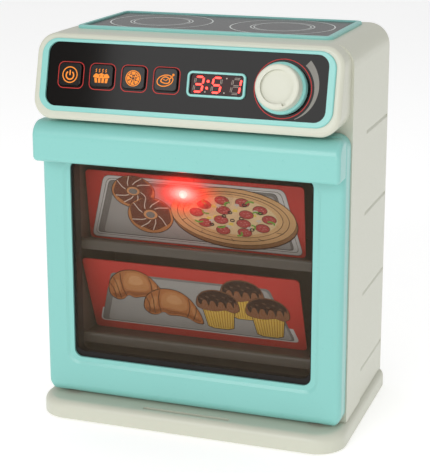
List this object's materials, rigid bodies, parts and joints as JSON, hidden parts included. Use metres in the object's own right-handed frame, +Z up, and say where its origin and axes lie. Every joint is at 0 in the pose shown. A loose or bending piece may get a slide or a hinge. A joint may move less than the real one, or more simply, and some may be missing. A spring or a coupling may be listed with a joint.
{
  "type": "toy oven",
  "caption": "Tabletop toy oven with a printed hob, drop-down windowed door, push buttons, turning dial and food cards on two shelves.",
  "frame": {"origin": "middle of the footprint, on the table under the feet", "axes": "+X to the right seen from the front, -Y out of the door, +Z up"},
  "size_m": [0.188, 0.1289, 0.2332],
  "materials": {
    "cream_plastic": "satin",
    "turquoise_plastic": "gloss",
    "dark_gloss": "gloss",
    "hob_glass": "gloss",
    "smoked_pane": "gloss",
    "liner_plastic": "matte",
    "shelf_plastic": "satin",
    "printed_card": "matte",
    "black_rubber": "matte",
    "grey_rubber": "matte",
    "board": "satin",
    "black_plastic": "matte",
    "steel": "satin",
    "battery_jacket": "gloss",
    "led_red": "gloss",
    "display_window": "gloss"
  },
  "bodies": {
    "case": {"base_plinth": "cream_plastic", "rubber_feet": "black_rubber", "front_shell": "cream_plastic", "rear_cover": "cream_plastic", "rear_screws": "steel", "control_hood": "cream_plastic", "control_bezel": "turquoise_plastic", "control_panel": "dark_gloss", "rubber_keypad": "grey_rubber", "circuit_board": "board", "dial_encoder": "black_plastic", "display_bezel": "turquoise_plastic", "display_window": "display_window", "display_module": "black_plastic", "hob_frame": "turquoise_plastic", "hob_plate": "hob_glass", "oven_liner": "liner_plastic", "lower_shelf": "shelf_plastic", "upper_shelf": "shelf_plastic", "lower_food_card": "printed_card", "upper_food_card": "printed_card", "light_post": "black_plastic", "oven_light": "led_red", "speaker": "black_plastic", "battery_box": "black_plastic", "batteries": "battery_jacket", "battery_contacts": "steel", "door_catch": "steel"},
    "door": {"door_frame": "turquoise_plastic", "door_window": "smoked_pane", "door_inner_frame": "black_plastic", "door_hinge_pins": "steel", "door_striker": "turquoise_plastic"},
    "dial": {"knob_cap": "cream_plastic", "knob_skirt": "turquoise_plastic", "knob_shaft": "steel"},
    "battery_cover": {"battery_lid": "cream_plastic", "battery_lid_screw": "steel"},
    "button_power": {"button_power": "dark_gloss"},
    "button_cake": {"button_cake": "dark_gloss"},
    "button_pizza": {"button_pizza": "dark_gloss"},
    "button_roast": {"button_roast": "dark_gloss"}
  },
  "joints": [
    {"name": "door_hinge", "type": "hinge", "parent": "case", "child": "door", "pos_m": [0, -0.0375, 0.0182], "axis": [1, 0, 0], "range_deg": [0, 85]},
    {"name": "dial_turn", "type": "hinge", "parent": "case", "child": "dial", "pos_m": [0.0572, -0.0498, 0.208], "axis": [0, -0.9659, 0.2588], "range_deg": [0, 125]},
    {"name": "battery_lid_hinge", "type": "hinge", "parent": "case", "child": "battery_cover", "pos_m": [0, 0.0636, 0.0312], "axis": [-1, 0, 0], "range_deg": [0, 80]},
    {"name": "press_power", "type": "slide", "parent": "case", "child": "button_power", "axis": [0, 0.9659, -0.2588], "range_m": [0, 0.0012], "stiffness_N_per_m": 300},
    {"name": "press_cake", "type": "slide", "parent": "case", "child": "button_cake", "axis": [0, 0.9659, -0.2588], "range_m": [0, 0.0012], "stiffness_N_per_m": 300},
    {"name": "press_pizza", "type": "slide", "parent": "case", "child": "button_pizza", "axis": [0, 0.9659, -0.2588], "range_m": [0, 0.0012], "stiffness_N_per_m": 300},
    {"name": "press_roast", "type": "slide", "parent": "case", "child": "button_roast", "axis": [0, 0.9659, -0.2588], "range_m": [0, 0.0012], "stiffness_N_per_m": 300}
  ]
}
